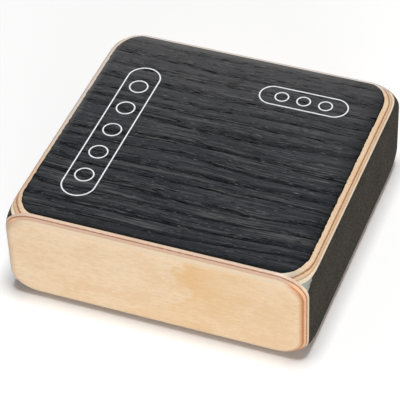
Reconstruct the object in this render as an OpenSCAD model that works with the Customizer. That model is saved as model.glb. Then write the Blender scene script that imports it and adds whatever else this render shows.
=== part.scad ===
// Flat square hand shaker: a glued wooden box with loose steel shot in three long channels.
// Origin at the middle of the underside. X runs left to right (the short travel of the shot),
// Y front to back (the long travel), Z up. Millimetres.

/* [Box] */
// Width, left to right
box_w = 100; // [80:1:130]
// Depth, front to back
box_d = 100; // [80:1:130]
// Height
box_h = 33; // [27:0.5:45]

/* [Sanded edges] */
// Radius along the edges
edge_r = 4; // [2:0.25:5]
// How far a corner's rounding runs along the edges that lead left and right
corner_reach_x = 7; // [3:0.5:10]
// How far it runs along the edges that lead to the front and back
corner_reach_y = 9.5; // [3:0.5:12]
// How far it runs along the upright edges
corner_reach_z = 4; // [2:0.5:8]

/* [Top and bottom plates] */
// Thickness of the stained veneer
veneer_t = 0.1; // [0.1:0.05:0.5]
// Thickness of the ply under the veneer
lid_outer_ply = 0.9; // [0.5:0.05:1.5]
// Thickness of the middle ply
lid_core_ply = 0.8; // [0.5:0.05:1.5]
// Thickness of the ply that faces the channels
lid_inner_ply = 0.9; // [0.5:0.05:1.5]

/* [Front and back plates] */
// Thickness of the ply outside
end_outer_ply = 1.15; // [0.5:0.05:1.5]
// Thickness of the middle ply
end_core_ply = 0.85; // [0.5:0.05:1.5]
// Thickness of the ply that faces the channels
end_inner_ply = 1; // [0.5:0.05:1.5]

/* [Walls and dividers] */
// Thickness of a side wall
wall_t = 6; // [4:0.5:10]
// Thickness of a divider strip
divider_t = 3; // [2:0.5:5]

/* [Shot] */
// Diameter of one ball
ball_d = 4; // [3:0.25:6]
// Gap from ball to ball and from ball to floor
ball_gap = 0.2; // [0.1:0.05:0.5]
// Rows of balls in a group
ball_rows = 3; // [1:1:4]

/* [Hidden] */
// Facets round a full turn of the sanded edges
edge_facets = 32;
// Steps along one arc of a rounded corner
corner_steps = 8;
// Facets round a ball
ball_facets = 48;
// How far a cutting block reaches past what it cuts
over = 1;

lid_t = veneer_t + lid_outer_ply + lid_core_ply + lid_inner_ply;
end_t = end_outer_ply + end_core_ply + end_inner_ply;
half_w = box_w / 2;
half_d = box_d / 2;
inner_half_d = half_d - end_t;
ceiling_z = box_h - lid_t;

// Three channels, side by side, between the walls and the two dividers
channel_w = (box_w - 2 * wall_t - 2 * divider_t) / 3;
channel_step = channel_w + divider_t;
divider_x = channel_step / 2;

// Balls lie in staggered rows, so rows of one group nest and the two groups stay a full step apart
ball_step = ball_d + ball_gap;
row_step = ball_step * sin(60);
ball_z = lid_t + ball_gap + ball_d / 2;
long_columns = floor((channel_w - ball_gap) / ball_step);
short_columns = ceil(long_columns / 2);

birch = "#e9cca6";
birch_core = "#dcb48c";
black_oak = "#3c3c3e";
black_board = "#403d36";
steel = "#b9bcc0";

// A box between two corners
module block(low, high) {
  translate(low) cube(high - low);
}

// Points of the quarter ellipse that rounds off the corner between two edges, seen from that corner
function corner_arc(edge_a, edge_b) = [
  for (i = [0 : corner_steps])
    let (turn = 90 * i / corner_steps)
      edge_a * (1 - cos(turn)) + edge_b * (1 - sin(turn))
];

// A ball of the edge radius that reaches its full size at both poles
module edge_ball() {
  rotate_extrude($fn = edge_facets)
    intersection() {
      circle(edge_r, $fn = edge_facets);
      translate([0, -edge_r]) square([edge_r, 2 * edge_r]);
    }
}

// The rounding of the corner towards +X, +Y and +Z of a box centred on the origin
module rounded_corner() {
  along_x = [-corner_reach_x, 0, 0];
  along_y = [0, -corner_reach_y, 0];
  along_z = [0, 0, -corner_reach_z];
  arcs = concat(corner_arc(along_x, along_y), corner_arc(along_y, along_z), corner_arc(along_z, along_x));
  translate([half_w - edge_r, half_d - edge_r, box_h / 2 - edge_r])
    for (place = arcs)
      translate(place) edge_ball();
}

// Outside of the glued and sanded box
module sanded_box() {
  translate([0, 0, box_h / 2])
    hull()
      for (x = [0, 1], y = [0, 1], z = [0, 1])
        mirror([x, 0, 0]) mirror([0, y, 0]) mirror([0, 0, z]) rounded_corner();
}

// The part of the sanded box that lies between two corners. It is convex, so its hull is the part itself
module sanded_block(low, high) {
  hull()
    intersection() {
      block(low, high);
      sanded_box();
    }
}

// Turns a piece of the top plate into its twin of the bottom plate
module at_bottom() {
  translate([0, 0, box_h]) mirror([0, 0, 1]) children();
}

// Turns a piece of the front plate into its twin of the back plate
module at_back() {
  mirror([0, 1, 0]) children();
}

// One layer of the top plate, from a depth under its face, between the front and back plates
module lid_layer(depth, t) {
  reach = depth == 0 ? over : 0;
  sanded_block(
    [-half_w - over, -inner_half_d, box_h - depth - t],
    [half_w + over, inner_half_d, box_h - depth + reach]
  );
}

// One layer of the front plate, from a depth behind its face, across the whole front
module end_layer(depth, t) {
  reach = depth == 0 ? over : 0;
  sanded_block(
    [-half_w - over, -half_d + depth - reach, -over],
    [half_w + over, -half_d + depth + t, box_h + over]
  );
}

module lid_veneer() {
  color(black_oak) lid_layer(0, veneer_t);
}

module lid_outer() {
  color(birch) lid_layer(veneer_t, lid_outer_ply);
}

module lid_core() {
  color(birch_core) lid_layer(veneer_t + lid_outer_ply, lid_core_ply);
}

module lid_inner() {
  color(birch) lid_layer(veneer_t + lid_outer_ply + lid_core_ply, lid_inner_ply);
}

module end_outer() {
  color(birch) end_layer(0, end_outer_ply);
}

module end_core() {
  color(birch_core) end_layer(end_outer_ply, end_core_ply);
}

module end_inner() {
  color(birch) end_layer(end_outer_ply + end_core_ply, end_inner_ply);
}

// A divider is glued in between all four plates
module divider(side) {
  color(birch)
    block(
      [side * divider_x - divider_t / 2, -inner_half_d, lid_t],
      [side * divider_x + divider_t / 2, inner_half_d, ceiling_z]
    );
}

// The right wall, between the plates
module side_wall() {
  color(black_board)
    sanded_block([half_w - wall_t, -inner_half_d, lid_t], [half_w + over, inner_half_d, ceiling_z]);
}

// Staggered rows of balls on a channel's floor, counted from the middle to the front (-1) or back (1)
module ball_group(channel, columns, way) {
  color(steel)
    for (row = [0 : ball_rows - 1]) {
      count = max(1, columns - row % 2);
      for (i = [0 : count - 1])
        translate([
          channel * channel_step + (i - (count - 1) / 2) * ball_step,
          way * (ball_step / 2 + row * row_step),
          ball_z
        ])
          sphere(d = ball_d, $fn = ball_facets);
    }
}

module long_shot(channel) {
  ball_group(channel, long_columns, 1);
}

module short_shot(channel) {
  ball_group(channel, short_columns, -1);
}

lid_veneer();  // top_veneer
lid_outer();  // top_outer_ply
lid_core();  // top_core_ply
lid_inner();  // top_inner_ply
at_bottom() lid_inner();  // bottom_inner_ply
at_bottom() lid_core();  // bottom_core_ply
at_bottom() lid_outer();  // bottom_outer_ply
at_bottom() lid_veneer();  // bottom_veneer
end_outer();  // front_outer_ply
end_core();  // front_core_ply
end_inner();  // front_inner_ply
at_back() end_inner();  // back_inner_ply
at_back() end_core();  // back_core_ply
at_back() end_outer();  // back_outer_ply
mirror([1, 0, 0]) side_wall();  // left_wall
side_wall();  // right_wall
divider(-1);  // left_divider
divider(1);  // right_divider
long_shot(-1);  // left_long_shot
long_shot(0);  // middle_long_shot
long_shot(1);  // right_long_shot
short_shot(-1);  // left_short_shot
short_shot(0);  // middle_short_shot
short_shot(1);  // right_short_shot
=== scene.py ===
"""Looks of a flat square hand shaker, dressed round its packed construction.

Sizes are metres in the frame's own axes: the origin is the middle of the underside, X runs to the
right, Y to the back and Z up. Colours are written as 8-bit sRGB.
"""

import logging
import math
from collections.abc import Sequence
from dataclasses import dataclass
from enum import Enum

import bmesh
import bpy
import numpy as np
from mathutils import Matrix, Vector


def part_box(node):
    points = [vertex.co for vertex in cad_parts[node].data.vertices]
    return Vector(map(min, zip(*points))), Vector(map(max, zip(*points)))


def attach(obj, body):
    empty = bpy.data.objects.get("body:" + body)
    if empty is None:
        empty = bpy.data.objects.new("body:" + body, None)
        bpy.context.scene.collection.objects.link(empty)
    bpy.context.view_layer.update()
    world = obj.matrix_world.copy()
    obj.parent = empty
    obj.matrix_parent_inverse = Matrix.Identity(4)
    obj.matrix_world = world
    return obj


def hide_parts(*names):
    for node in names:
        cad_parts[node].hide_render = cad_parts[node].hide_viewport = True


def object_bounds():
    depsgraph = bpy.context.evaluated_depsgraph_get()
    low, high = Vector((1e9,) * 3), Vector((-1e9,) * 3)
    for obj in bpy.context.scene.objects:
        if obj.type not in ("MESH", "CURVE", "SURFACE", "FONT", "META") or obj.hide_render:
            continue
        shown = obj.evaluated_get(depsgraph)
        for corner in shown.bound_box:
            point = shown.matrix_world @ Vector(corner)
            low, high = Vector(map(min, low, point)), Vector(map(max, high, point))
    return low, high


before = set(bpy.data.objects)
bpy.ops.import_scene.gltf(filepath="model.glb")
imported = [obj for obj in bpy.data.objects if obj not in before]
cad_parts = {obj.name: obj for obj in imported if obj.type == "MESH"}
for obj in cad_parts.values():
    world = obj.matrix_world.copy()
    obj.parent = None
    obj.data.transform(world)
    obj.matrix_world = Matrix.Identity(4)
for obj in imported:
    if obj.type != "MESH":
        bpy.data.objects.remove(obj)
CAD_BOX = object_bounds()

log = logging.getLogger("shaker")

MM = 0.001
TINY = 1e-9
QUARTER_TURN = math.pi / 2
SHARP_ANGLE = math.radians(35)
STAGGER_ANGLE = math.radians(60)
GROOVE_WIDTH = 0.07 * MM
GROOVE_DEPTH = 0.02 * MM
END_ZONE = 14 * MM
END_ROWS = 44
END_CROWDING = 1.4

Socket = bpy.types.NodeSocket
Feed = Socket | float | int | tuple[float, ...]
Colour = tuple[int, int, int]
Pair = tuple[float, float]
Size = tuple[float, float, float]
# Start and end of a range, and what it is mapped to there if that isn't 0 and 1
Ramp = tuple[float, ...]


class Axis(Enum):
    """The three directions of the frame, as places in a point."""

    X = 0
    Y = 1
    Z = 2


class Face(Enum):
    """The side of the box that a plate or a wall closes. The sign is the way it looks along its axis."""

    FRONT = -1
    BACK = 1
    BOTTOM = -2
    TOP = 2
    LEFT = -3
    RIGHT = 3

    @property
    def sign(self) -> int:
        """Which way the face looks along its axis."""
        return 1 if self.value > 0 else -1

    @property
    def title(self) -> str:
        """The face's name as it stands in the names of the nodes."""
        return self.name.lower()


class Travel(Enum):
    """The way that a charge of shot runs, as the Y sign of its place in the channel."""

    LONG = 1
    SHORT = -1


def linear(colour: Colour) -> tuple[float, float, float, float]:
    """Turns an 8-bit sRGB colour into the linear one that the shaders take.

    Args:
        colour: Red, green and blue from 0 to 255.

    Returns:
        Linear red, green, blue and a full alpha.
    """
    shares = [c / 255 for c in colour]
    red, green, blue = (s / 12.92 if s <= 0.04045 else ((s + 0.055) / 1.055) ** 2.4 for s in shares)
    return red, green, blue, 1.0


def toward(azimuth: float, elevation: float) -> Vector:
    """Gives a unit direction by its degrees round from the front, to the right, and up from the floor."""
    a, e = math.radians(azimuth), math.radians(elevation)
    return Vector((math.sin(a) * math.cos(e), -math.cos(a) * math.cos(e), math.sin(e)))


def shown(name: str, data: bpy.types.ID) -> bpy.types.Object:
    """Puts a new object into the scene.

    Args:
        name: The object's name.
        data: Its mesh, lamp or camera.

    Returns:
        The object.
    """
    made = bpy.data.objects.new(name, data)
    bpy.context.scene.collection.objects.link(made)
    return made


def crowded(count: int, crowding: float) -> np.ndarray:
    """Spaces a count of places from -1 to 1, closer together towards both ends."""
    even = np.linspace(-1, 1, count)
    return np.sign(even) * (1 - (1 - np.abs(even)) ** crowding)


@dataclass(frozen=True)
class Pattern:
    """Soft noise: how long its patches are along X, Y and Z, and how many finer layers lie on them.

    The shift moves it, so that two of one size differ.
    """

    size: Size
    detail: float
    shift: float

    def scaled(self, share: float, detail: float, shift: float) -> "Pattern":
        """Gives the same shape of patch in another size."""
        return Pattern(tuple(s * share for s in self.size), detail, shift)


@dataclass(frozen=True)
class Band:
    """A ramp along one axis, from its low share at the start to 1 where it is full.

    With a middle, the start and the full end are distances from there, to both sides.
    """

    axis: Axis
    start: float
    full: float
    low: float = 0.0
    middle: float | None = None


@dataclass(frozen=True)
class Zone:
    """How much shows at most, and the bands, which all overlap where it does."""

    share: float
    bands: tuple[Band, ...]


@dataclass(frozen=True)
class Stain:
    """A colour that shows in some zones."""

    colour: Colour
    zones: tuple[Zone, ...]


class Wiring:
    """Adds nodes to a tree, sets them and joins them up."""

    NOISE_MIDDLE = 0.5
    NOISE_ROUGHNESS = 0.55
    SHIFT_WAY = (1.0, 1.7, 0.6)

    def __init__(self, tree: bpy.types.NodeTree) -> None:
        """Keeps the tree that the nodes go into."""
        self.tree = tree

    def feed(self, socket: Socket, value: Feed) -> None:
        """Links a socket to another one, or sets its own value."""
        if isinstance(value, Socket):
            self.tree.links.new(value, socket)
        else:
            socket.default_value = value

    def add(self, kind: str, inputs: dict | None = None, **settings: object) -> bpy.types.Node:
        """Adds one node.

        Args:
            kind: The node's type.
            inputs: Values or sockets by the input's name or place.
            settings: The node's own properties.

        Returns:
            The node.
        """
        node = self.tree.nodes.new(kind)
        for name, value in settings.items():
            setattr(node, name, value)
        for key, value in (inputs or {}).items():
            self.feed(node.inputs[key], value)
        return node

    def math(self, operation: str, *terms: Feed) -> Socket:
        """Adds a sum of one kind over its terms and returns the result."""
        return self.add("ShaderNodeMath", dict(enumerate(terms)), operation=operation).outputs[0]

    def times(self, first: Feed, second: Feed) -> Socket:
        """Multiplies two numbers."""
        return self.math("MULTIPLY", first, second)

    def vector(self, operation: str, *terms: Feed) -> Socket:
        """Adds a vector sum of one kind over its terms and returns the result."""
        return self.add("ShaderNodeVectorMath", dict(enumerate(terms)), operation=operation).outputs[0]

    def split(self, point: Feed) -> Sequence[Socket]:
        """Gives a point's places along X, Y and Z."""
        return self.add("ShaderNodeSeparateXYZ", {0: point}).outputs

    def join(self, **places: Feed) -> Socket:
        """Makes a vector of its places along X, Y and Z, which are 0 where none is given."""
        return self.add("ShaderNodeCombineXYZ", places).outputs[0]

    def ease(self, value: Feed, low: Feed, high: Feed, to_low: Feed = 0.0, to_high: Feed = 1.0) -> Socket:
        """Maps a value from one range to another, with a soft start and end."""
        inputs = {"Value": value, "From Min": low, "From Max": high, "To Min": to_low, "To Max": to_high}
        return self.add("ShaderNodeMapRange", inputs, interpolation_type="SMOOTHSTEP").outputs[0]

    def mix(self, share: Feed, first: Feed, second: Feed) -> Socket:
        """Mixes two colours, of which the second one shows at a share of 1."""
        return self.add("ShaderNodeMix", {0: share, 6: first, 7: second}, data_type="RGBA").outputs[2]

    def noise(self, place: Feed, pattern: Pattern) -> Socket:
        """Adds soft noise.

        Args:
            place: The point that it is read at.
            pattern: Its patches.

        Returns:
            The noise, mostly from 0.25 to 0.75.
        """
        patches = self.vector("MULTIPLY", place, tuple(1 / s for s in pattern.size))
        moved = self.vector("ADD", patches, tuple(pattern.shift * way for way in self.SHIFT_WAY))
        layers = {"Scale": 1.0, "Detail": pattern.detail, "Roughness": self.NOISE_ROUGHNESS}
        return self.add("ShaderNodeTexNoise", {"Vector": moved, **layers}).outputs[0]


class Surface(Wiring):
    """The nodes of one material, with its shader and the point in the frame's axes."""

    def __init__(self, material: bpy.types.Material) -> None:
        """Opens the material's nodes.

        Args:
            material: The material, which is still plain.
        """
        material.use_nodes = True
        super().__init__(material.node_tree)
        self.shader = self.tree.nodes["Principled BSDF"]
        self.place = self.add("ShaderNodeTexCoord").outputs["Object"]
        self.axes = self.split(self.place)

    def attribute(self, name: str) -> Socket:
        """Reads a number that the mesh keeps at its points."""
        return self.add("ShaderNodeAttribute", attribute_name=name).outputs["Fac"]

    def outward(self, axis: Axis, middle: float) -> Socket:
        """Gives how far the point lies from a middle plane."""
        return self.math("ABSOLUTE", self.math("SUBTRACT", self.axes[axis.value], middle))

    def most(self, zones: Sequence[Zone]) -> Feed:
        """Finds how far the point lies inside zones.

        Args:
            zones: The zones, which may overlap.

        Returns:
            The largest of their shares, 0 outside all of them.
        """
        most: Feed = 0.0
        for zone in zones:
            share: Feed = zone.share
            for band in zone.bands:
                along = self.axes[band.axis.value]
                if band.middle is not None:
                    along = self.outward(band.axis, band.middle)
                share = self.times(share, self.ease(along, band.start, band.full, band.low))
            most = self.math("MAXIMUM", most, share)
        return most

    def tint(self, under: Feed, share: Feed, colour: Colour) -> Socket:
        """Lays a colour over another one."""
        return self.mix(share, under, linear(colour))

    def stain(self, under: Feed, tints: Sequence[Stain]) -> Feed:
        """Lays stains over a colour, one after the other."""
        for stain in tints:
            under = self.tint(under, self.most(stain.zones), stain.colour)
        return under

    def show(self, inputs: dict[str, Feed]) -> None:
        """Sets the shader's inputs by name."""
        for name, value in inputs.items():
            self.feed(self.shader.inputs[name], value)

    def roughen(self, height: Feed, depth: float, share: float) -> None:
        """Adds fine relief that is too small for the mesh. The depth is that of a height of 1."""
        bump = self.add("ShaderNodeBump", {"Strength": share, "Distance": depth, "Height": height})
        self.show({"Normal": bump.outputs[0]})


@dataclass(frozen=True)
class Finish:
    """A surface finish. Each kind draws its own nodes."""

    title: str

    def material(self) -> bpy.types.Material:
        """Makes the material, or returns it if it exists.

        Returns:
            A node material with one Principled shader.
        """
        material = bpy.data.materials.get(self.title)
        if not material:
            material = bpy.data.materials.new(self.title)
            self.draw(Surface(material))
        return material

    def draw(self, surface: Surface) -> None:
        """Wires the finish into a material."""
        raise NotImplementedError


@dataclass(frozen=True)
class OakGrain:
    """How growth rings and open pores run along a sheet of oak, left to right.

    A ring starts with a crowd of pores and clears towards its end, where the next one starts abruptly.
    """

    sway: float = 2.4 * MM
    sways: Pattern = Pattern((52 * MM, 24 * MM, 24 * MM), detail=2.0, shift=0.0)
    ring_width: float = 6.2 * MM
    ring_drift: float = 2.4
    drifts: Pattern = Pattern((120 * MM, 16 * MM, 16 * MM), detail=1.0, shift=7.7)
    crowd_end: float = 0.7
    crowd_gain: float = 0.09
    dashes: Pattern = Pattern((5 * MM, 0.34 * MM, 0.34 * MM), detail=2.6, shift=3.1)
    pore_edge: Ramp = (0.62, 0.64)

    def trace(self, wiring: Wiring, place: Feed) -> tuple[Socket, Socket, Socket]:
        """Draws the grain.

        Args:
            wiring: A shader or geometry tree.
            place: The point in the frame's axes.

        Returns:
            The point along and across the swaying grain, how crowded the pores stand there, from 1 where
            a ring starts to 0 in its clear part, and 1 in a pore or 0 between pores.
        """
        lean = wiring.math("SUBTRACT", wiring.noise(place, self.sways), wiring.NOISE_MIDDLE)
        lines = wiring.vector("ADD", place, wiring.join(Y=wiring.times(lean, self.sway * 2)))
        across = wiring.split(lines)[Axis.Y.value]
        drift = wiring.times(wiring.noise(lines, self.drifts), self.ring_drift)
        turns = wiring.math("ADD", wiring.math("DIVIDE", across, self.ring_width), drift)
        crowd = wiring.ease(wiring.math("FRACT", turns), 0.0, self.crowd_end, 1.0, 0.0)
        gain = wiring.times(crowd, self.crowd_gain)
        crowded = wiring.math("ADD", wiring.noise(lines, self.dashes), gain)
        return lines, crowd, wiring.ease(crowded, *self.pore_edge)


@dataclass(frozen=True)
class StainedOak(Finish):
    """Open-pored oak, stained black and dull, with paler bands between the rows of pores.

    Painted shade darkens it along the front and right rims. Painted sheen makes it paler towards the back
    and lighter along the back rim and the rear of the left rim, and glints are painted highlights.
    """

    grain: OakGrain = OakGrain()
    early: Colour = (28, 30, 35)
    late: Colour = (50, 52, 56)
    dark: Colour = (17, 18, 21)
    pale: Colour = (85, 84, 84)
    glint: Colour = (122, 120, 118)
    pore: Colour = (6, 6, 7)
    rim: Colour = (12, 12, 13)
    bands: Pattern = Pattern((75 * MM, 6 * MM, 6 * MM), detail=1.0, shift=1.3)
    streaks: Pattern = Pattern((24 * MM, 0.8 * MM, 0.8 * MM), detail=5.0, shift=5.9)
    glints: Pattern = Pattern((3.4 * MM, 0.28 * MM, 0.28 * MM), detail=2.0, shift=11.2)
    dark_streaks: Ramp = (0.32, 0.48, 0.45, 0.0)
    pale_streaks: Ramp = (0.48, 0.68)
    pale_bands: Ramp = (0.4, 0.6, 0.3, 0.9)
    bright_glints: Ramp = (0.63, 0.72, 0.0, 0.7)
    pore_share: float = 0.92
    pore_relief: float = 0.5
    rim_fade: Ramp = (0.0, 0.7)
    roughness: Ramp = (0.0, 1.0, 0.34, 0.8)
    specular: float = 0.03
    relief: Pair = (0.12 * MM, 0.6)
    # Painted sheen: the veneer is paler towards the back.
    thin: tuple[Zone, ...] = (Zone(0.45, (Band(Axis.Y, -10 * MM, 48 * MM),)),)
    # Painted shade: darker along the front and right rims.
    shaded_rims: tuple[Zone, ...] = (
        Zone(0.75, (Band(Axis.Y, -41 * MM, -48 * MM),)),
        Zone(0.55, (Band(Axis.X, 40 * MM, 47.5 * MM),)),
    )
    # Painted sheen: lighter along the back rim and the rear of the left rim.
    worn: tuple[Zone, ...] = (
        Zone(0.4, (Band(Axis.Y, 42 * MM, 47 * MM), Band(Axis.X, 42 * MM, 20 * MM, low=0.3))),
        Zone(0.4, (Band(Axis.X, -45 * MM, -47.2 * MM), Band(Axis.Y, -30 * MM, 10 * MM))),
    )

    def draw(self, surface: Surface) -> None:
        """Wires rings, streaks, pores, the dark cut rim and painted glints, sheen and shade into the shader.

        Args:
            surface: The material's nodes.
        """
        lines, crowd, pores = self.grain.trace(surface, surface.place)
        bands = surface.noise(lines, self.bands)
        streaks = surface.noise(lines, self.streaks)
        glints = surface.noise(lines, self.glints)
        banded = surface.ease(bands, *self.pale_bands)
        lit = surface.times(surface.ease(streaks, *self.pale_streaks), banded)
        wood = surface.tint(linear(self.late), crowd, self.early)
        shaded = surface.tint(wood, surface.ease(streaks, *self.dark_streaks), self.dark)
        sheened = surface.tint(shaded, surface.most(self.thin), self.pale)
        ridged = surface.tint(sheened, lit, self.pale)
        # Glints are painted highlights: light specks beside the pores.
        flecked = surface.tint(ridged, surface.ease(glints, *self.bright_glints), self.glint)
        rim_shaded = surface.tint(flecked, surface.most(self.shaded_rims), self.dark)
        pored = surface.tint(rim_shaded, surface.times(pores, self.pore_share), self.pore)
        inside = surface.ease(surface.attribute(Veneer.INSIDE), *self.rim_fade)
        cut = surface.mix(inside, linear(self.rim), pored)
        # The worn zones lay painted sheen, in the glint colour, on the back and left rims.
        surface.show({
            "Base Color": surface.tint(cut, surface.most(self.worn), self.glint),
            "Roughness": surface.ease(pores, *self.roughness),
            "Specular IOR Level": self.specular,
        })
        height = surface.math("SUBTRACT", streaks, surface.times(pores, self.pore_relief))
        surface.roughen(height, *self.relief)


# Painted sheen on the upper rims along the back and the rear of the left side.
UPPER_RIM = Band(Axis.Z, 28.5 * MM, 30.5 * MM)
RIM_SHEEN = Stain((216, 208, 199), (
    Zone(0.85, (UPPER_RIM, Band(Axis.X, -45.5 * MM, -48 * MM), Band(Axis.Y, -30 * MM, 10 * MM))),
    Zone(0.85, (UPPER_RIM, Band(Axis.Y, 41 * MM, 47 * MM), Band(Axis.X, 48 * MM, 42 * MM))),
))


@dataclass(frozen=True)
class BirchPly(Finish):
    """One ply of birch, waxed, with a dark glue line where it meets the next ply.

    A glue line is its depth under the plate's face and how strongly it shows. Tints lie under the
    wood's flecks and marks lie over them. The tints are end grain and other tones, and on the outer end
    plies also painted shade; the marks are painted light: rim sheen, and on the lid plies painted shade.
    Amber heartwood lies round an oval of pale wood, to its right and below, unless the oval has no reach.
    By default a painted sheen lightens the upper rims along the back and along the rear of the left side.
    """

    axis: Axis = Axis.Z
    centre: float = 0.0
    half: float = 0.0
    glue_lines: tuple[Pair, ...] = ()
    tints: tuple[Stain, ...] = ()
    # Painted light over the wood: the painted rim sheen by default.
    marks: tuple[Stain, ...] = (RIM_SHEEN,)
    pale: Colour = (243, 217, 184)
    warm: Colour = (236, 204, 165)
    amber: Colour = (230, 180, 112)
    glue: Colour = (140, 84, 42)
    glue_width: float = 0.32 * MM
    glue_wander: Ramp = (0.3, 0.7, 0.6, 1.2)
    clouds: Pattern = Pattern((17 * MM, 13 * MM, 9 * MM), detail=3.0, shift=2.4)
    fibres: Pattern = Pattern((2.6 * MM, 0.9 * MM, 0.7 * MM), detail=3.0, shift=4.8)
    fine: tuple[float, float, float] = (1 / 2.2, 2.0, 8.8)
    patchy: tuple[float, float, float] = (0.7, 2.0, 13.7)
    warm_tones: Ramp = (0.4, 0.6)
    flecks: Ramp = (0.54, 0.7, 0.0, 0.4)
    roughness: Ramp = (0.3, 0.7, 0.38, 0.52)
    specular: float = 0.2
    coat: float = 0.25
    coat_roughness: float = 0.24
    relief: Pair = (0.03 * MM, 0.5)
    oval_place: Size = (0.0, 0.0, 0.0)
    oval_reach: Size = (0.0, 0.0, 0.0)
    oval_wander: Ramp = (0.3, 0.7, -0.15, 0.15)
    heart_edge: Ramp = (1.0, 1.12)
    heart_fade: Ramp = (1.0, 2.3, 0.6, 0.15)
    heart_right: Ramp = (-0.8, 0.4)
    heart_high: Ramp = (-0.9, 0.2, 0.4, 1.0)

    def draw(self, surface: Surface) -> None:
        """Wires fibres, flecks, heartwood, stains and glue lines into the shader.

        Args:
            surface: The material's nodes.
        """
        clouds = surface.noise(surface.place, self.clouds)
        fibres = surface.noise(surface.place, self.fibres)
        fine = surface.noise(surface.place, self.fibres.scaled(*self.fine))
        tone = surface.times(surface.math("ADD", clouds, fibres), 0.5)
        wood = surface.tint(linear(self.pale), surface.ease(tone, *self.warm_tones), self.warm)
        hearted = surface.tint(wood, self.heart_share(surface), self.amber)
        stained = surface.stain(hearted, self.tints)
        flecked = surface.tint(stained, surface.ease(fine, *self.flecks), self.amber)
        # Marks are painted light: rim sheen, and on the lid plies painted shade at the front right corner
        # and the foot.
        with_painted_light = surface.stain(flecked, self.marks)
        surface.show({
            "Base Color": surface.tint(with_painted_light, self.glue_share(surface, fine), self.glue),
            "Roughness": surface.ease(fibres, *self.roughness),
            "Specular IOR Level": self.specular,
            "Coat Weight": self.coat,
            "Coat Roughness": self.coat_roughness,
        })
        surface.roughen(fibres, *self.relief)

    def heart_share(self, surface: Surface) -> Feed:
        """Draws the amber heartwood, which starts at the oval's uneven edge and fades away from it.

        Args:
            surface: The material's nodes.

        Returns:
            How much of the amber shows.
        """
        if not any(self.oval_reach):
            return 0.0
        offset = surface.vector("SUBTRACT", surface.place, self.oval_place)
        away = surface.vector("DIVIDE", offset, self.oval_reach)
        turns = surface.add("ShaderNodeVectorMath", {0: away}, operation="LENGTH").outputs["Value"]
        patches = surface.noise(surface.place, self.clouds.scaled(*self.patchy))
        reached = surface.math("ADD", turns, surface.ease(patches, *self.oval_wander))
        across, _, up = surface.split(away)
        share = surface.ease(reached, *self.heart_edge)
        for value, ramp in ((reached, self.heart_fade), (across, self.heart_right), (up, self.heart_high)):
            share = surface.times(share, surface.ease(value, *ramp))
        return share

    def glue_share(self, surface: Surface, fine: Socket) -> Feed:
        """Finds the glue lines by their depth under the plate's face.

        Args:
            surface: The material's nodes.
            fine: Fine noise that makes a line uneven.

        Returns:
            Near 1 in the middle of a glue line, 0 away from it.
        """
        depth = surface.math("SUBTRACT", self.half, surface.outward(self.axis, self.centre))
        width = surface.times(surface.ease(fine, *self.glue_wander), self.glue_width)
        share: Feed = 0.0
        for line, strength in self.glue_lines:
            away = surface.math("ABSOLUTE", surface.math("SUBTRACT", depth, line))
            share = surface.math("MAXIMUM", share, surface.ease(away, 0.0, width, strength, 0.0))
        return share


@dataclass(frozen=True)
class BlackBoard(Finish):
    """Through-dyed fibreboard, matt, worn pale in some zones where the sanding cut deep into a corner."""

    zones: tuple[Zone, ...] = ()
    dark: Colour = (46, 42, 36)
    pale: Colour = (80, 75, 67)
    worn: Colour = (158, 161, 150)
    speckles: Pattern = Pattern((0.48 * MM, 0.48 * MM, 0.48 * MM), detail=1.0, shift=6.1)
    clouds: Pattern = Pattern((9 * MM, 9 * MM, 9 * MM), detail=2.0, shift=9.4)
    edges: Pattern = Pattern((1.1 * MM, 1.1 * MM, 1.1 * MM), detail=3.0, shift=1.9)
    cloud_share: float = 0.15
    pale_tones: Ramp = (0.4, 0.62)
    wear_cut: Ramp = (0.42 * MM, 0.7 * MM)
    wear_wander: float = 0.7 * MM
    roughness: Ramp = (0.3, 0.7, 0.75, 0.9)
    specular: float = 0.05
    relief: Pair = (0.05 * MM, 0.6)

    def draw(self, surface: Surface) -> None:
        """Wires the speckle and the worn corners, which have an uneven edge, into the shader.

        Args:
            surface: The material's nodes.
        """
        speckle = surface.noise(surface.place, self.speckles)
        drifts = surface.times(surface.noise(surface.place, self.clouds), self.cloud_share)
        tone = surface.math("ADD", surface.times(speckle, 1 - self.cloud_share), drifts)
        board = surface.tint(linear(self.dark), surface.ease(tone, *self.pale_tones), self.pale)
        uneven = surface.math("SUBTRACT", surface.noise(surface.place, self.edges), surface.NOISE_MIDDLE)
        cut = surface.math("ADD", surface.attribute(SideWall.CUT), surface.times(uneven, self.wear_wander))
        wear = surface.times(surface.most(self.zones), surface.ease(cut, *self.wear_cut))
        surface.show({
            "Base Color": surface.tint(board, wear, self.worn),
            "Roughness": surface.ease(speckle, *self.roughness),
            "Specular IOR Level": self.specular,
        })
        surface.roughen(speckle, *self.relief)


@dataclass(frozen=True)
class Mottled(Finish):
    """A plain surface with a breath of another tone: ink that is thin in places, or hazed steel."""

    full: Colour
    thin: Colour
    patches: Pattern
    thin_tones: Ramp
    roughness: Ramp
    metallic: float = 0.0
    relief: Pair = (0.0, 0.0)

    def draw(self, surface: Surface) -> None:
        """Wires the uneven cover into the shader.

        Args:
            surface: The material's nodes.
        """
        cover = surface.noise(surface.place, self.patches)
        surface.show({
            "Base Color": surface.tint(linear(self.full), surface.ease(cover, *self.thin_tones), self.thin),
            "Roughness": surface.ease(cover, *self.roughness),
            "Metallic": self.metallic,
        })
        if any(self.relief):
            surface.roughen(cover, *self.relief)


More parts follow.
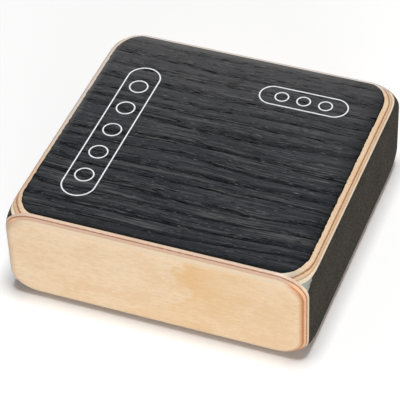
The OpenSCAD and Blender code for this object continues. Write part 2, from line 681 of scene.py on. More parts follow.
@dataclass(frozen=True)
class SandedBlock:
    """Outside of the glued box: a block with its edges and corners sanded round.

    The edges are round. At a corner each outline turns in a quarter of an ellipse, which reaches a set
    way along each edge. Points are measured from the middle of the block, and the first corner stands
    for all eight.
    """

    half: Size
    edge_r: float = 4 * MM
    corner_reach: Size = (7 * MM, 9.5 * MM, 4 * MM)
    searches: int = 48
    corner_steps: int = 48

    def support(self, normals: np.ndarray) -> np.ndarray:
        """Finds the outermost point of the first corner in each direction.

        Args:
            normals: Unit directions in the first octant, as rows of three.

        Returns:
            One point for each direction.
        """
        inner = np.array(self.half) - self.edge_r
        reach = np.array(self.corner_reach)
        best = np.zeros_like(normals)
        farthest = np.full(normals.shape[:-1], -np.inf)
        for axis in Axis:
            spread = normals * reach
            spread[..., axis.value] = 0
            spread /= np.maximum(np.linalg.norm(spread, axis=-1, keepdims=True), TINY)
            centre = inner - reach
            centre[axis.value] = inner[axis.value]
            points = centre + reach * spread + self.edge_r * normals
            here = (points * normals).sum(-1)
            best = np.where((here > farthest)[..., None], points, best)
            farthest = np.maximum(here, farthest)
        return best

    def corner(self, axis: Axis, level: float) -> tuple[np.ndarray, np.ndarray]:
        """Cuts the first corner square to an axis.

        The slope of the surface is searched for at which the outermost point lies at the level.

        Args:
            axis: The axis that the cut is square to.
            level: Distance of the cut from the middle.

        Returns:
            The cut's points, and their outward directions, as rows along the other two axes.
        """
        others = [a for a in range(3) if a != axis.value]
        turn = np.linspace(0, QUARTER_TURN, self.corner_steps + 1)
        outward = np.stack([np.cos(turn), np.sin(turn)], axis=1)
        level = min(abs(level), self.half[axis.value] - TINY)

        def at_slope(slope: np.ndarray) -> np.ndarray:
            """Finds the outermost points where the surface leans by some angles.

            Args:
                slope: The angle at each turn.

            Returns:
                The point at each turn.
            """
            normals = np.zeros((len(turn), 3))
            normals[:, others] = outward * np.cos(slope)[:, None]
            normals[:, axis.value] = np.sin(slope)
            return self.support(normals)

        low = np.zeros(len(turn))
        high = np.full(len(turn), QUARTER_TURN)
        for _ in range(self.searches):
            middle = (low + high) / 2
            under = at_slope(middle)[:, axis.value] < level
            low = np.where(under, middle, low)
            high = np.where(under, high, middle)
        first = at_slope(low)
        second = at_slope(high)
        gap = second[:, axis.value] - first[:, axis.value]
        share = np.clip((level - first[:, axis.value]) / np.where(gap > TINY * TINY, gap, 1), 0, 1)
        points = first + share[:, None] * (second - first)
        return points[:, others], outward

    def outline(self, axis: Axis, level: float, inset: float = 0.0) -> np.ndarray:
        """Gives the whole outline of a cut square to an axis.

        Args:
            axis: The axis that the cut is square to.
            level: Distance of the cut from the middle.
            inset: How far the outline is drawn in.

        Returns:
            The closed outline's points along the other two axes, anticlockwise.
        """
        points, outward = self.corner(axis, level)
        quarter = points - inset * outward
        return np.concatenate([
            quarter,
            quarter[::-1] * (-1, 1),
            quarter * (-1, -1),
            quarter[::-1] * (1, -1),
        ])

    def side_reach(self, rows: np.ndarray, levels: np.ndarray | float) -> np.ndarray:
        """Gives how far the block reaches to the right.

        Args:
            rows: Places along Y.
            levels: Height over the middle, at each place or at all of them.

        Returns:
            The reach along X at each place.
        """
        heights = np.broadcast_to(np.abs(levels), rows.shape)
        reach = np.zeros(rows.shape)
        for height in np.unique(heights):
            here = heights == height
            points, _ = self.corner(Axis.Z, height)
            reach[here] = np.interp(np.abs(rows[here]), points[:, 1], points[:, 0])
        return reach

    def end_drop(self, rows: np.ndarray) -> np.ndarray:
        """Gives how far the top falls on the middle line at places along Y, in its front and back edges."""
        over = np.clip(np.abs(rows) - (self.half[1] - self.edge_r), 0, self.edge_r)
        return self.edge_r - np.sqrt(self.edge_r**2 - over**2)


def settle(mesh: bpy.types.Mesh) -> None:
    """Turns a mesh's faces outwards, smooths them and marks its real edges as sharp.

    Args:
        mesh: The mesh, which is changed in place.
    """
    shape = bmesh.new()
    shape.from_mesh(mesh)
    bmesh.ops.recalc_face_normals(shape, faces=shape.faces)
    shape.to_mesh(mesh)
    shape.free()
    mesh.polygons.foreach_set("use_smooth", [True] * len(mesh.polygons))
    mesh.set_sharp_from_angle(angle=SHARP_ANGLE)
    mesh.update()


def loft(name: str, rings: Sequence[np.ndarray]) -> bpy.types.Mesh:
    """Joins closed rings of points into one closed skin with a cap at each end.

    Args:
        name: The mesh's name.
        rings: Rings with the same count of points, as rows of three.

    Returns:
        The closed mesh.
    """
    count = len(rings[0])
    last = (len(rings) - 1) * count
    faces: list[Sequence[int]] = [range(count), range(last, last + count)]
    for ring in range(len(rings) - 1):
        start = ring * count
        for i in range(count):
            j = (i + 1) % count
            faces.append((start + i, start + j, start + count + j, start + count + i))
    mesh = bpy.data.meshes.new(name)
    mesh.from_pydata([tuple(p) for p in np.concatenate(rings)], [], faces)
    settle(mesh)
    return mesh


class NodeModifier:
    """A geometry tree with named inputs, run once on a mesh."""

    SOCKETS = {float: "NodeSocketFloat", int: "NodeSocketInt", tuple: "NodeSocketVector"}

    def __init__(self, title: str, inputs: dict[str, float | int | Size]) -> None:
        """Makes a tree that is still empty.

        Args:
            title: The tree's name.
            inputs: The named inputs and their values.
        """
        self.inputs = inputs
        self.tree = bpy.data.node_groups.new(title, "GeometryNodeTree")
        self.tree.interface.new_socket("Geometry", in_out="INPUT", socket_type="NodeSocketGeometry")
        self.identifiers = {}
        for name, value in inputs.items():
            kind = self.SOCKETS[type(value)]
            socket = self.tree.interface.new_socket(name, in_out="INPUT", socket_type=kind)
            self.identifiers[name] = socket.identifier
        self.tree.interface.new_socket("Geometry", in_out="OUTPUT", socket_type="NodeSocketGeometry")
        self.wiring = Wiring(self.tree)
        self.given = self.wiring.add("NodeGroupInput").outputs

    def make(self, kind: str, inputs: dict | None = None, **settings: object) -> Socket:
        """Adds a geometry node of a kind and gives what comes out of it first."""
        return self.wiring.add("GeometryNode" + kind, inputs, **settings).outputs[0]

    def close(self, geometry: Socket, finish: Finish) -> None:
        """Ends the tree with real meshes and their material.

        Args:
            geometry: What the tree made.
            finish: The surface of all of it.
        """
        real = self.make("RealizeInstances", {0: geometry})
        dressed = self.make("SetMaterial", {"Geometry": real, "Material": finish.material()})
        self.wiring.add("NodeGroupOutput", {0: dressed})

    def run(self, name: str, mesh: bpy.types.Mesh | None = None) -> bpy.types.Mesh:
        """Runs the tree on an object that is removed again.

        Args:
            name: The result's name.
            mesh: The mesh that it changes, or nothing if the tree makes its own.

        Returns:
            The plain mesh that came out.
        """
        holder = shown(name + "_maker", mesh or bpy.data.meshes.new(name))
        modifier = holder.modifiers.new(self.tree.name, "NODES")
        modifier.node_group = self.tree
        for key, value in self.inputs.items():
            modifier[self.identifiers[key]] = value
        bpy.context.view_layer.update()
        graph = bpy.context.evaluated_depsgraph_get()
        made = bpy.data.meshes.new_from_object(holder.evaluated_get(graph), depsgraph=graph)
        bpy.data.objects.remove(holder)
        settle(made)
        return made


class Assembly:
    """What the sub-assemblies share: each builds its meshes and dresses them as finished pieces."""

    def build(self) -> None:
        """Makes every piece of the sub-assembly."""
        raise NotImplementedError

    @staticmethod
    def dress(name: str, mesh: bpy.types.Mesh, finish: Finish, slot: str | None, body: str = "case") -> None:
        """Gives a mesh its surface and puts it onto its body.

        Args:
            name: The node that it stands for if it has a slot, or else the piece's own name.
            mesh: Its mesh, in place.
            finish: Its surface.
            slot: The record's material slot, or nothing for a piece that no node stands for.
            body: The body that it moves with.
        """
        mesh.materials.clear()
        mesh.materials.append(finish.material())
        piece = shown("dressed_" + name, mesh)
        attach(piece, body)
        if slot:
            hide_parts(name)
        log.info("%s: %d faces on %s", name, len(mesh.polygons), body)


def rows_along(half: float) -> np.ndarray:
    """Spaces rows along Y from front to back, close together in the zone at each end."""
    ends = half - END_ZONE * (1 - np.linspace(0, 1, END_ROWS)) ** END_CROWDING
    return np.concatenate([-ends[::-1], [0.0], ends])


@dataclass
class LidPlate(Assembly):
    """The top or bottom plate: three plies under a stained veneer, between the front and back plates."""

    block: SandedBlock
    face: Face
    finishes: dict[str, Finish]
    rim_sink: float = 0.03 * MM
    seat_depth: float = 0.1 * MM
    seat_margin: float = 0.6 * MM
    edge_steps: int = 9

    def build(self) -> None:
        """Makes and dresses the plate's plies and its veneer."""
        for layer, slot in (("inner_ply", "birch"), ("core_ply", "birch_core"), ("outer_ply", "birch")):
            node = f"{self.face.title}_{layer}"
            self.dress(node, self.ply(node, layer), self.finishes[layer], slot)
        Veneer(self.block, self.face, self.finishes["veneer"]).build()

    def ply(self, node: str, layer: str) -> bpy.types.Mesh:
        """Lofts one ply from front to back, with a fine groove at each glue line.

        Args:
            node: The node that it stands for, which gives its place.
            layer: Which ply it is.

        Returns:
            The closed mesh.
        """
        low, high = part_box(node)
        half_h = self.block.half[2]
        near, far = sorted(abs(z - half_h) for z in (low.z, high.z))
        inner = np.linspace(near + GROOVE_WIDTH, far - GROOVE_WIDTH, self.edge_steps)
        rows = rows_along(high.y)
        fall = half_h - self.block.end_drop(rows) - self.rim_sink
        edges = []
        for level in (near, *inner, far):
            inset = GROOVE_DEPTH if level in (near, far) else 0.0
            held = np.minimum(level, fall)
            reach = self.block.side_reach(rows, held) - inset - self.rim_sink
            edges.append((reach, held))
        if layer == "outer_ply":
            reach, held = edges[-1]
            inward = np.clip((high.y - np.abs(rows)) / self.seat_margin, 0, 1)
            edges.append((reach - self.seat_margin, held - self.seat_depth * inward))
        rings = []
        for i, y in enumerate(rows):
            right = [(x[i], y, half_h + self.face.sign * z[i]) for x, z in edges]
            left = [(-x, y, z) for x, _, z in reversed(right)]
            rings.append(np.array(right + left))
        return loft(node, rings)


@dataclass
class Veneer(Assembly):
    """The stained veneer: a sheet that the sanding cut through at its rim, with open pores in it.

    Its left and right rims are ragged, because the grain ends there. Front and back follow the grain
    and are clean but for a few nicks.
    """

    INSIDE = "inside"

    block: SandedBlock
    face: Face
    finish: StainedOak
    rim_depth: float = 0.17 * MM
    rim_thickness: float = 0.03 * MM
    end_margin: float = 0.012 * MM
    end_nick: float = 0.3 * MM
    nick_share: float = 0.05
    nick_range: Pair = (0.3, 1)
    nick_zone: float = 0.9 * MM
    tooth: float = 0.16 * MM
    tooth_range: Pair = (-1, 0.8)
    tooth_low: float = 0.35 * MM
    tooth_high: float = 1.2 * MM
    fade: float = 1.1 * MM
    pore_depth: float = 0.09 * MM
    pore_start: Ramp = (0.7, 1.0)
    row_count: int = 820
    column_count: int = 112
    crowding: float = 1.5
    cut_depth: float = 0.4 * MM
    cut_count: int = 33
    seed: int = 7

    def build(self) -> None:
        """Makes the sheet, presses the pores into it and dresses it."""
        node = f"{self.face.title}_veneer"
        self.dress(node, self.pressed(node, self.sheet(node)), self.finish, "black_oak")

    def ragged(self, rows: np.ndarray, seed: int) -> np.ndarray:
        """Draws the torn line of fibres at a rim.

        Args:
            rows: Places along the rim.
            seed: Fixes the draw.

        Returns:
            How far the rim stands out at each place, in or out.
        """
        draw = np.random.default_rng(seed)
        count = int((rows[-1] - rows[0]) / self.tooth_low) + 2
        knots = rows[0] + np.cumsum(draw.uniform(self.tooth_low, self.tooth_high, count))
        return np.interp(rows, knots, self.tooth * draw.uniform(*self.tooth_range, count))

    def nicks(self, places: np.ndarray, seed: int) -> np.ndarray:
        """Draws the few nicks along the front or back rim.

        Args:
            places: Places along X.
            seed: Fixes the draw.

        Returns:
            How far the rim stands back at each place.
        """
        draw = np.random.default_rng(seed)
        half = self.block.half[0]
        knots = np.linspace(-half, half, int(half / MM))
        nicked = draw.uniform(0, 1, len(knots)) < self.nick_share
        deep = np.where(nicked, draw.uniform(*self.nick_range, len(knots)), 0)
        return self.end_nick * np.interp(places, knots, deep)

    def sheet(self, name: str) -> bpy.types.Mesh:
        """Makes the smooth sheet in rows along the grain.

        Args:
            name: The mesh's name, which is the node that it stands for.

        Returns:
            The closed mesh, with the distance from the rim as an attribute.
        """
        half_h = self.block.half[2]
        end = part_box(name)[1].y
        rows = np.linspace(-end, end, self.row_count)
        drop = self.block.end_drop(rows)
        reach = self.block.side_reach(rows, half_h - np.maximum(self.rim_depth, drop + self.end_margin))
        ends = [reach + self.ragged(rows, self.seed + side) for side in (0, 1)]
        spread = crowded(self.column_count, self.crowding)
        depths = np.linspace(0, self.cut_depth, self.cut_count)
        cuts = np.array([self.block.side_reach(rows, half_h - d) for d in depths])
        rings = []
        inside = []
        for i, y in enumerate(rows):
            places = np.where(spread < 0, spread * ends[0][i], spread * ends[1][i])
            known = depths > drop[i] + TINY
            fall = np.interp(np.abs(places), [0, *cuts[known, i]], [drop[i], *depths[known]])
            from_end = end - abs(y)
            pull = max(0.0, 1 - from_end / self.nick_zone) ** 2
            moved = y - math.copysign(pull, y) * self.nicks(places, self.seed + 2 + (y > 0))
            top = np.stack([places, moved, half_h - fall], axis=1)
            under = top[[-1, 0]] - (0, 0, self.rim_thickness)
            rings.append(np.concatenate([top, under]) * (1, 1, self.face.sign) + (0, 0, half_h))
            from_side = np.where(places < 0, ends[0][i] + places, ends[1][i] - places)
            near = np.clip(np.minimum(from_side, from_end) / self.fade, 0, 1)
            inside.append(np.concatenate([near, [0, 0]]))
        mesh = loft(name, rings)
        mesh.attributes.new(self.INSIDE, "FLOAT", "POINT").data.foreach_set("value", np.concatenate(inside))
        return mesh

    def pressed(self, name: str, mesh: bpy.types.Mesh) -> bpy.types.Mesh:
        """Presses the finish's pores into the sheet.

        Args:
            name: The result's name.
            mesh: The smooth sheet.

        Returns:
            The sheet with open pores.
        """
        maker = NodeModifier(name + "_pores", {"Pore Depth": self.pore_depth * self.face.sign})
        wiring = maker.wiring
        _, _, pores = self.finish.grain.trace(wiring, maker.make("InputPosition"))
        inside = maker.make("InputNamedAttribute", {"Name": self.INSIDE}, data_type="FLOAT")
        held = wiring.times(pores, wiring.ease(inside, *self.pore_start))
        down = wiring.join(Z=wiring.times(held, wiring.times(maker.given["Pore Depth"], -1.0)))
        moved = maker.make("SetPosition", {"Geometry": maker.given["Geometry"], "Offset": down})
        maker.close(moved, self.finish)
        return maker.run(name, mesh)


@dataclass
class EndPlate(Assembly):
    """The front or back plate: three plies that cover the ends of all the others."""

    block: SandedBlock
    face: Face
    finishes: dict[str, Finish]
    level_count: int = 13
    flat_margin: float = 1.2 * MM

    def build(self) -> None:
        """Makes and dresses the plate's plies."""
        for layer, slot in (("outer_ply", "birch"), ("core_ply", "birch_core"), ("inner_ply", "birch")):
            node = f"{self.face.title}_{layer}"
            low, high = sorted(abs(corner.y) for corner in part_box(node))
            self.dress(node, loft(node, self.rings(low, high)), self.finishes[layer], slot)

    def ring(self, level: float, inset: float) -> np.ndarray:
        """Gives the plate's outline at one depth, in the frame's axes."""
        flat = self.block.outline(Axis.Y, level, inset)
        return np.insert(flat, 1, self.face.sign * level, axis=1) + (0, 0, self.block.half[2])

    def rings(self, low: float, high: float) -> list[np.ndarray]:
        """Gives the outlines of one ply from its inner face to its outer one.

        Args:
            low: Distance of the inner face from the middle of the box.
            high: Distance of the outer face.

        Returns:
            The rings of points.
        """
        half_d = self.block.half[1]
        edge_r = self.block.edge_r
        outermost = high > half_d - TINY
        top = half_d if outermost else high - GROOVE_WIDTH
        lean = [math.acos(1 - (half_d - y) / edge_r) for y in (low + GROOVE_WIDTH, top)]
        levels = half_d - edge_r * (1 - np.cos(np.linspace(*lean, self.level_count)))
        rings = [self.ring(low, GROOVE_DEPTH)]
        rings += [self.ring(level, 0.0) for level in levels]
        rings.append(self.ring(high, self.flat_margin if outermost else GROOVE_DEPTH))
        return rings


@dataclass
class SideWall(Assembly):
    """The left or right wall: a dark board between the four plates.

    An attribute keeps how deep the sanding cut into its outside.
    """

    CUT = "cut"

    block: SandedBlock
    face: Face
    finish: Finish
    height_steps: int = 56
    crowding: float = 1.3

    def build(self) -> None:
        """Lofts the wall from front to back and dresses it."""
        node = f"{self.face.title}_wall"
        low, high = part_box(node)
        inner = min(abs(low.x), abs(high.x))
        half_h = self.block.half[2]
        heights = (high.z - half_h) * crowded(self.height_steps, self.crowding)
        rows = rows_along(high.y)
        reach = np.array([self.block.side_reach(rows, z) for z in heights])
        rings = []
        cuts = []
        for i, y in enumerate(rows):
            outside = [(x, y, z) for x, z in zip(reach[:, i], heights)]
            inside = [(inner, y, heights[-1]), (inner, y, heights[0])]
            rings.append(np.array(outside + inside) * (self.face.sign, 1, 1) + (0, 0, half_h))
            cuts.append([*(self.block.half[0] - reach[:, i]), 0, 0])
        mesh = loft(node, rings)
        mesh.attributes.new(self.CUT, "FLOAT", "POINT").data.foreach_set("value", np.concatenate(cuts))
        self.dress(node, mesh, self.finish, "black_board")


@dataclass
class Divider(Assembly):
    """A planed strip that parts two channels."""

    node: str
    finish: Finish
    eased_edge: float = 0.25 * MM
    edge_steps: int = 3

    def build(self) -> None:
        """Makes the strip with its edges taken off, and dresses it."""
        low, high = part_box(self.node)
        shape = bmesh.new()
        place = Matrix.LocRotScale((low + high) / 2, None, high - low)
        bmesh.ops.create_cube(shape, size=1.0, matrix=place)
        eased = {"offset": self.eased_edge, "segments": self.edge_steps, "affect": "EDGES"}
        bmesh.ops.bevel(shape, geom=shape.edges[:], **eased)
        mesh = bpy.data.meshes.new(self.node)
        shape.to_mesh(mesh)
        shape.free()
        settle(mesh)
        self.dress(self.node, mesh, self.finish, "birch_strip")


@dataclass
class Charge(Assembly):
    """The loose shot of one channel that runs one way: staggered rows of balls."""

    channel: str
    travel: Travel
    finish: Finish
    gap: float = 0.2 * MM
    segments: int = 28
    rings: int = 14

    def build(self) -> None:
        """Makes the balls with a geometry tree and dresses them."""
        title = f"{self.channel}_{self.travel.name.lower()}"
        node = title + "_shot"
        low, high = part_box(node)
        ball = high.z - low.z
        step = ball + self.gap
        columns = round((high.x - low.x - ball) / step) + 1
        row_step = step * math.sin(STAGGER_ANGLE)
        rows = round((high.y - low.y - ball) / row_step) + 1
        maker = NodeModifier(node + "_rows", {
            "Ball Radius": ball / 2,
            "Ball Step": step,
            "Row Step": row_step * self.travel.value,
            "Columns": columns,
            "Ball Count": rows * columns - rows // 2,
            "First Row": ((low.x + high.x) / 2, self.travel.value * step / 2, (low.z + high.z) / 2),
        })
        self.rows(maker)
        self.dress(node, maker.run(node), self.finish, "steel_shot", title + "_charge")

    def rows(self, maker: NodeModifier) -> None:
        """Wires the staggered rows: every second row has one ball less.

        Args:
            maker: The tree with its inputs.
        """
        wiring = maker.wiring
        given = maker.given
        columns = given["Columns"]
        index = maker.make("InputIndex")
        pair = wiring.math("SUBTRACT", wiring.times(columns, 2.0), 1.0)
        pairs = wiring.math("FLOOR", wiring.math("DIVIDE", wiring.math("ADD", index, 0.5), pair))
        left_over = wiring.math("SUBTRACT", index, wiring.times(pairs, pair))
        short = wiring.math("GREATER_THAN", left_over, wiring.math("SUBTRACT", columns, 0.5))
        column = wiring.math("SUBTRACT", left_over, wiring.times(short, columns))
        steps = wiring.math("SUBTRACT", columns, wiring.math("ADD", short, 1.0))
        from_middle = wiring.math("SUBTRACT", column, wiring.math("DIVIDE", steps, 2.0))
        across = wiring.times(from_middle, given["Ball Step"])
        row = wiring.math("ADD", wiring.times(pairs, 2.0), short)
        along = wiring.times(row, given["Row Step"])
        place = wiring.vector("ADD", given["First Row"], wiring.join(X=across, Y=along))
        points = maker.make("Points", {"Count": given["Ball Count"], "Position": place})
        size = {"Segments": self.segments, "Rings": self.rings, "Radius": given["Ball Radius"]}
        ball = maker.make("MeshUVSphere", size)
        maker.close(maker.make("InstanceOnPoints", {"Points": points, "Instance": ball}), self.finish)


@dataclass
class PrintedMark(Assembly):
    """A printed capsule with rings in it: the way that the shot runs, as plain shapes."""

    name: str
    finish: Finish
    centre: Size
    turn: float
    length: float
    width: float
    ring_count: int
    ring_r: float
    ring_step: float
    line: float = 0.46 * MM
    ink: float = 0.05 * MM
    end_share: float = 0.499
    end_steps: int = 24
    ring_steps: int = 40

    def build(self) -> None:
        """Makes the printed lines with a geometry tree and dresses them."""
        maker = NodeModifier(self.name + "_lines", {
            "Length": self.length,
            "Width": self.width,
            "Line Width": self.line,
            "Ink Thickness": self.ink,
            "Ring Count": self.ring_count,
            "Ring Radius": self.ring_r,
            "First Ring": (-self.ring_step * (self.ring_count - 1) / 2, 0.0, 0.0),
            "Ring Step": (self.ring_step, 0.0, 0.0),
            "Centre": self.centre,
            "Turn": (0.0, 0.0, self.turn),
        })
        self.lines(maker)
        self.dress(self.name, maker.run(self.name), self.finish, None)

    def lines(self, maker: NodeModifier) -> None:
        """Wires the capsule's outline and its row of rings.

        Args:
            maker: The tree with its inputs.
        """
        wiring = maker.wiring
        given = maker.given
        nib, oblong = (
            maker.make("CurvePrimitiveQuadrilateral", {"Width": given[width], "Height": given[height]})
            for width, height in (("Line Width", "Ink Thickness"), ("Length", "Width"))
        )
        end_r = wiring.times(given["Width"], self.end_share)
        ends = {"Curve": oblong, "Radius": end_r, "Count": self.end_steps}
        capsule = maker.make("FilletCurve", ends, mode="POLY")
        turn = {"Resolution": self.ring_steps, "Radius": given["Ring Radius"]}
        circle = maker.make("CurvePrimitiveCircle", turn)
        outline, ring = (
            maker.make("CurveToMesh", {"Curve": curve, "Profile Curve": nib}) for curve in (capsule, circle)
        )
        places = {"Count": "Ring Count", "Start Location": "First Ring", "Offset": "Ring Step"}
        row = maker.make("MeshLine", {name: given[source] for name, source in places.items()})
        rings = maker.make("InstanceOnPoints", {"Points": row, "Instance": ring})
        both = wiring.add("GeometryNodeJoinGeometry")
        for part in (outline, rings):
            wiring.feed(both.inputs[0], part)
        place = {"Geometry": both.outputs[0], "Translation": given["Centre"], "Rotation": given["Turn"]}
        maker.close(maker.make("Transform", place), self.finish)


@dataclass(frozen=True)
class Lamp:
    """A soft box that points at the object."""

    title: str
    azimuth: float
    elevation: float
    distance: float
    width: float
    height: float
    watts: float

    def build(self, target: Vector) -> None:
        """Hangs the lamp.

        Args:
            target: The point that it is turned to.
        """
        data = bpy.data.lights.new(self.title, "AREA")
        data.shape = "RECTANGLE"
        data.size = self.width
        data.size_y = self.height
        data.energy = self.watts
        lamp = shown(self.title, data)
        back = toward(self.azimuth, self.elevation)
        lamp.location = target + back * self.distance
        lamp.rotation_euler = (-back).to_track_quat("-Z", "Y").to_euler()
        log.info("%s: %.1f W", self.title, self.watts)


@dataclass
class Studio:
    """A white floor, soft light and the camera."""

    middle: Vector
    floor_half: float = 3.0
    floor_z: float = -0.02 * MM
    floor_albedo: float = 0.82
    floor_seen: float = 1.0
    sky: float = 0.08
    azimuth: float = 22.175
    elevation: float = 42.348
    roll: float = -2.326
    distance: float = 665.62 * MM
    shift_right: float = -2.815 * MM
    shift_up: float = -4.889 * MM
    focal_px: float = 2052.76
    frame_px: float = 400
    sensor: float = 36.0
    lamps: tuple[Lamp, ...] = (
        Lamp("overhead_box", azimuth=90, elevation=88, distance=1.2, width=0.4, height=0.4, watts=12.4),
        Lamp("front_box", azimuth=27, elevation=10, distance=1.4, width=0.9, height=0.25, watts=10.1),
        Lamp("back_box", azimuth=203, elevation=30, distance=0.9, width=0.4, height=0.2, watts=0.7),
    )

    def build(self) -> None:
        """Makes the floor, the sky, the lamps and the camera."""
        bpy.context.scene.view_settings.view_transform = "Standard"
        self.floor()
        self.world()
        for lamp in self.lamps:
            lamp.build(self.middle)
        self.camera()

    @staticmethod
    def seen_directly(wiring: Wiring) -> Socket:
        """Tells rays that see the floor or the sky from those that carry its light.

        Args:
            wiring: The tree of the floor or the sky.

        Returns:
            1 for rays from the camera, from gloss and through glass, 0 for light.
        """
        path = wiring.add("ShaderNodeLightPath").outputs
        gloss = wiring.math("MAXIMUM", path["Is Glossy Ray"], path["Is Transmission Ray"])
        return wiring.math("MAXIMUM", path["Is Camera Ray"], gloss)

    def floor(self) -> None:
        """Makes the white floor, which keeps the object's shadow."""
        half = self.floor_half
        corners = [(-half, -half), (half, -half), (half, half), (-half, half)]
        mesh = bpy.data.meshes.new("floor")
        mesh.from_pydata([(x, y, self.floor_z) for x, y in corners], [], [(0, 1, 2, 3)])
        material = bpy.data.materials.new("floor_white")
        material.use_nodes = True
        material.node_tree.nodes.clear()
        wiring = Wiring(material.node_tree)
        shades = [(*[share] * 3, 1.0) for share in (self.floor_albedo, self.floor_seen)]
        white = wiring.mix(self.seen_directly(wiring), *shades)
        matt = wiring.add("ShaderNodeBsdfDiffuse", {"Color": white})
        wiring.add("ShaderNodeOutputMaterial", {"Surface": matt.outputs[0]})
        mesh.materials.append(material)
        floor = shown("floor", mesh)

    def world(self) -> None:
        """Makes an even sky that looks white and lights softly."""
        world = bpy.data.worlds.new("studio_sky")
        world.use_nodes = True
        world.node_tree.nodes.clear()
        wiring = Wiring(world.node_tree)
        strength = wiring.ease(self.seen_directly(wiring), 0.0, 1.0, self.sky, 1.0)
        sky = wiring.add("ShaderNodeBackground", {"Color": (1.0, 1.0, 1.0, 1.0), "Strength": strength})
        wiring.add("ShaderNodeOutputWorld", {"Surface": sky.outputs[0]})
        bpy.context.scene.world = world

    def camera(self) -> None:
        """Sets up the camera where the photograph was taken from."""
        roll = math.radians(self.roll)
        back = toward(self.azimuth, self.elevation)
        level = (-back).cross(Vector((0, 0, 1))).normalized()
        upright = level.cross(-back)
        right = level * math.cos(roll) + upright * math.sin(roll)
        up = upright * math.cos(roll) - level * math.sin(roll)
        data = bpy.data.cameras.new("camera")
        data.sensor_width = self.sensor
        data.lens = self.focal_px * self.sensor / self.frame_px
        camera = shown("camera", data)
        place = self.middle + back * self.distance + right * self.shift_right + up * self.shift_up
        camera.matrix_world = Matrix.Translation(place) @ Matrix((right, up, back)).transposed().to_4x4()
        bpy.context.scene.camera = camera


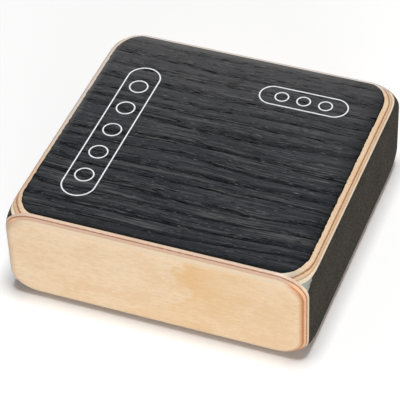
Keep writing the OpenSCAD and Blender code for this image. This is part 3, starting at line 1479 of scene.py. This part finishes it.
@dataclass
class Shaker(Assembly):
    """The whole box, its finishes and what it holds."""

    low: Vector
    high: Vector

    @property
    def half(self) -> Vector:
        """Half the box's width, depth and height."""
        return (self.high - self.low) / 2

    def build(self) -> None:
        """Builds every sub-assembly in order."""
        block = SandedBlock(tuple(self.half))
        lid = self.lid_finishes()
        end = self.end_finishes()
        walls = {
            Face.LEFT: BlackBoard("left_dyed_board"),
            Face.RIGHT: BlackBoard("right_dyed_board", (Zone(0.92, (Band(Axis.Y, -30 * MM, -38 * MM),)),)),
        }
        planed = Pattern((0.6 * MM, 26 * MM, 0.9 * MM), detail=3.0, shift=4.8)
        strip = BirchPly("planed_birch", fibres=planed)
        steel = Mottled(
            "polished_steel",
            full=(196, 199, 203),
            thin=(170, 173, 178),
            patches=Pattern((1.4 * MM, 1.4 * MM, 1.4 * MM), detail=4.0, shift=0.7),
            thin_tones=(0.4, 0.65),
            roughness=(0.3, 0.7, 0.16, 0.32),
            metallic=1.0,
        )
        parts: list[Assembly] = [LidPlate(block, face, lid) for face in (Face.BOTTOM, Face.TOP)]
        parts += [EndPlate(block, face, end[face]) for face in (Face.FRONT, Face.BACK)]
        parts += [SideWall(block, face, wall) for face, wall in walls.items()]
        parts += [Divider(side + "_divider", strip) for side in ("left", "right")]
        parts += [Charge(side, travel, steel) for side in ("left", "middle", "right") for travel in Travel]
        parts += self.prints()
        for part in parts:
            part.build()

    def lid_finishes(self) -> dict[str, Finish]:
        """Gives the finishes of the top and bottom plates by layer.

        Painted shade darkens the front right corner of each ply, the outer one most, and the foot.

        Returns:
            The finish of each layer.
        """
        deep, shallow = (self.high.z - corner.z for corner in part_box("top_core_ply"))
        lines = ((shallow, 0.95), (deep, 0.5))
        place = {"axis": Axis.Z, "centre": self.half.z, "half": self.half.z, "glue_lines": lines}
        # Painted shade at the front right corner and the foot, laid with the painted rim sheen.
        corner = (Band(Axis.Y, -41 * MM, -47 * MM), Band(Axis.X, 20 * MM, 40 * MM))
        foot = Zone(0.8, (Band(Axis.Z, 6 * MM, 3 * MM),))
        most, some = (Stain((174, 164, 143), (Zone(share, corner), foot)) for share in (0.9, 0.5))
        outer = {"pale": (226, 200, 170), "warm": (218, 188, 153), "marks": (most, RIM_SHEEN)}
        core = {"pale": (225, 190, 153), "warm": (214, 176, 138), "marks": (some, RIM_SHEEN)}
        inner = {"pale": (245, 226, 202), "warm": (238, 214, 184), "marks": (some, RIM_SHEEN)}
        return {
            "veneer": StainedOak("stained_oak"),
            "outer_ply": BirchPly("lid_outer_birch", **outer, **place),
            "core_ply": BirchPly("lid_core_birch", **core, **place),
            "inner_ply": BirchPly("lid_inner_birch", **inner, **place),
        }

    def end_finishes(self) -> dict[Face, dict[str, Finish]]:
        """Gives the finishes of the front and back plates by layer. The front one has amber heartwood.

        Where the rounding cuts across the fibres near both tips of a ply, the wood drinks more wax and
        has another tone. Painted shade darkens the outer ply's rounding along its upper and lower rims.

        Returns:
            The finish of each layer, for each face.
        """
        half = self.half
        outer, inner = (self.high.y + corner.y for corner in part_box("front_core_ply"))
        shared = {"axis": Axis.Y, "half": half.y, "glue_lines": ((outer, 0.15), (inner, 0.95))}
        # Painted shade on the outer ply's rounding near its upper and lower rims.
        rims = Zone(1.0, (
            Band(Axis.Z, half.z - 9 * MM, half.z - 5 * MM, middle=half.z),
            Band(Axis.Y, half.y, half.y - 0.55 * MM, middle=0.0),
        ))
        tips = Zone(1.0, (
            Band(Axis.X, half.x - 8 * MM, half.x - 4 * MM, middle=0.0),
            Band(Axis.Y, half.y - 0.05 * MM, half.y - 1.0 * MM, middle=0.0),
            Band(Axis.X, -1 * MM, 1 * MM, low=0.25),
        ))
        outside = {"tints": (Stain((222, 200, 172), (rims,)), Stain((190, 122, 70), (tips,))), **shared}
        oval = {"oval_place": (-12 * MM, self.low.y, 21 * MM), "oval_reach": (22 * MM, 40 * MM, 17 * MM)}
        front = BirchPly("front_outer_birch", **oval, **outside)
        back = BirchPly("back_outer_birch", **outside)
        upright = Zone(1.0, (Band(Axis.Z, half.z - 2.9 * MM, half.z - 1.3 * MM, middle=half.z),))
        level = Zone(1.0, (Band(Axis.X, half.x - 2.9 * MM, half.x - 1.3 * MM, middle=0.0),))
        core = {"pale": (238, 190, 150), "warm": (228, 175, 133)}
        under = {"pale": (214, 188, 170), "warm": (206, 178, 156)}
        core_tips = (Stain((200, 168, 148), (upright,)),)
        under_tips = (Stain((236, 206, 180), (level,)),)
        inside = {
            "core_ply": BirchPly("end_core_birch", tints=core_tips, **core, **shared),
            "inner_ply": BirchPly("end_inner_birch", tints=under_tips, **under, **shared),
        }
        return {Face.FRONT: {"outer_ply": front, **inside}, Face.BACK: {"outer_ply": back, **inside}}

    def prints(self) -> list[Assembly]:
        """Gives a long and a short mark on the top.

        Returns:
            The marks, each along the way that its shot runs.
        """
        ink = Mottled(
            "white_ink",
            full=(232, 233, 235),
            thin=(198, 199, 202),
            patches=Pattern((1.6 * MM, 0.25 * MM, 0.25 * MM), detail=3.0, shift=2.2),
            thin_tones=(0.52, 0.72),
            roughness=(0.3, 0.7, 0.5, 0.65),
            relief=(0.02 * MM, 0.4),
        )
        top = self.high.z
        return [
            PrintedMark(
                "long_mark", ink, (-32 * MM, -2 * MM, top), turn=QUARTER_TURN,
                length=66 * MM, width=11 * MM, ring_count=5, ring_r=3 * MM, ring_step=11.5 * MM,
            ),
            PrintedMark(
                "short_mark", ink, (22 * MM, 31 * MM, top), turn=0.0,
                length=30 * MM, width=9 * MM, ring_count=3, ring_r=2.2 * MM, ring_step=7.5 * MM,
            ),
        ]


def main() -> None:
    """Builds the shaker and the studio, and reports each piece."""
    logging.basicConfig(level=logging.INFO, format="%(name)s: %(message)s")
    low, high = CAD_BOX
    Shaker(low, high).build()
    Studio((low + high) / 2).build()


if __name__ == "__main__":
    main()
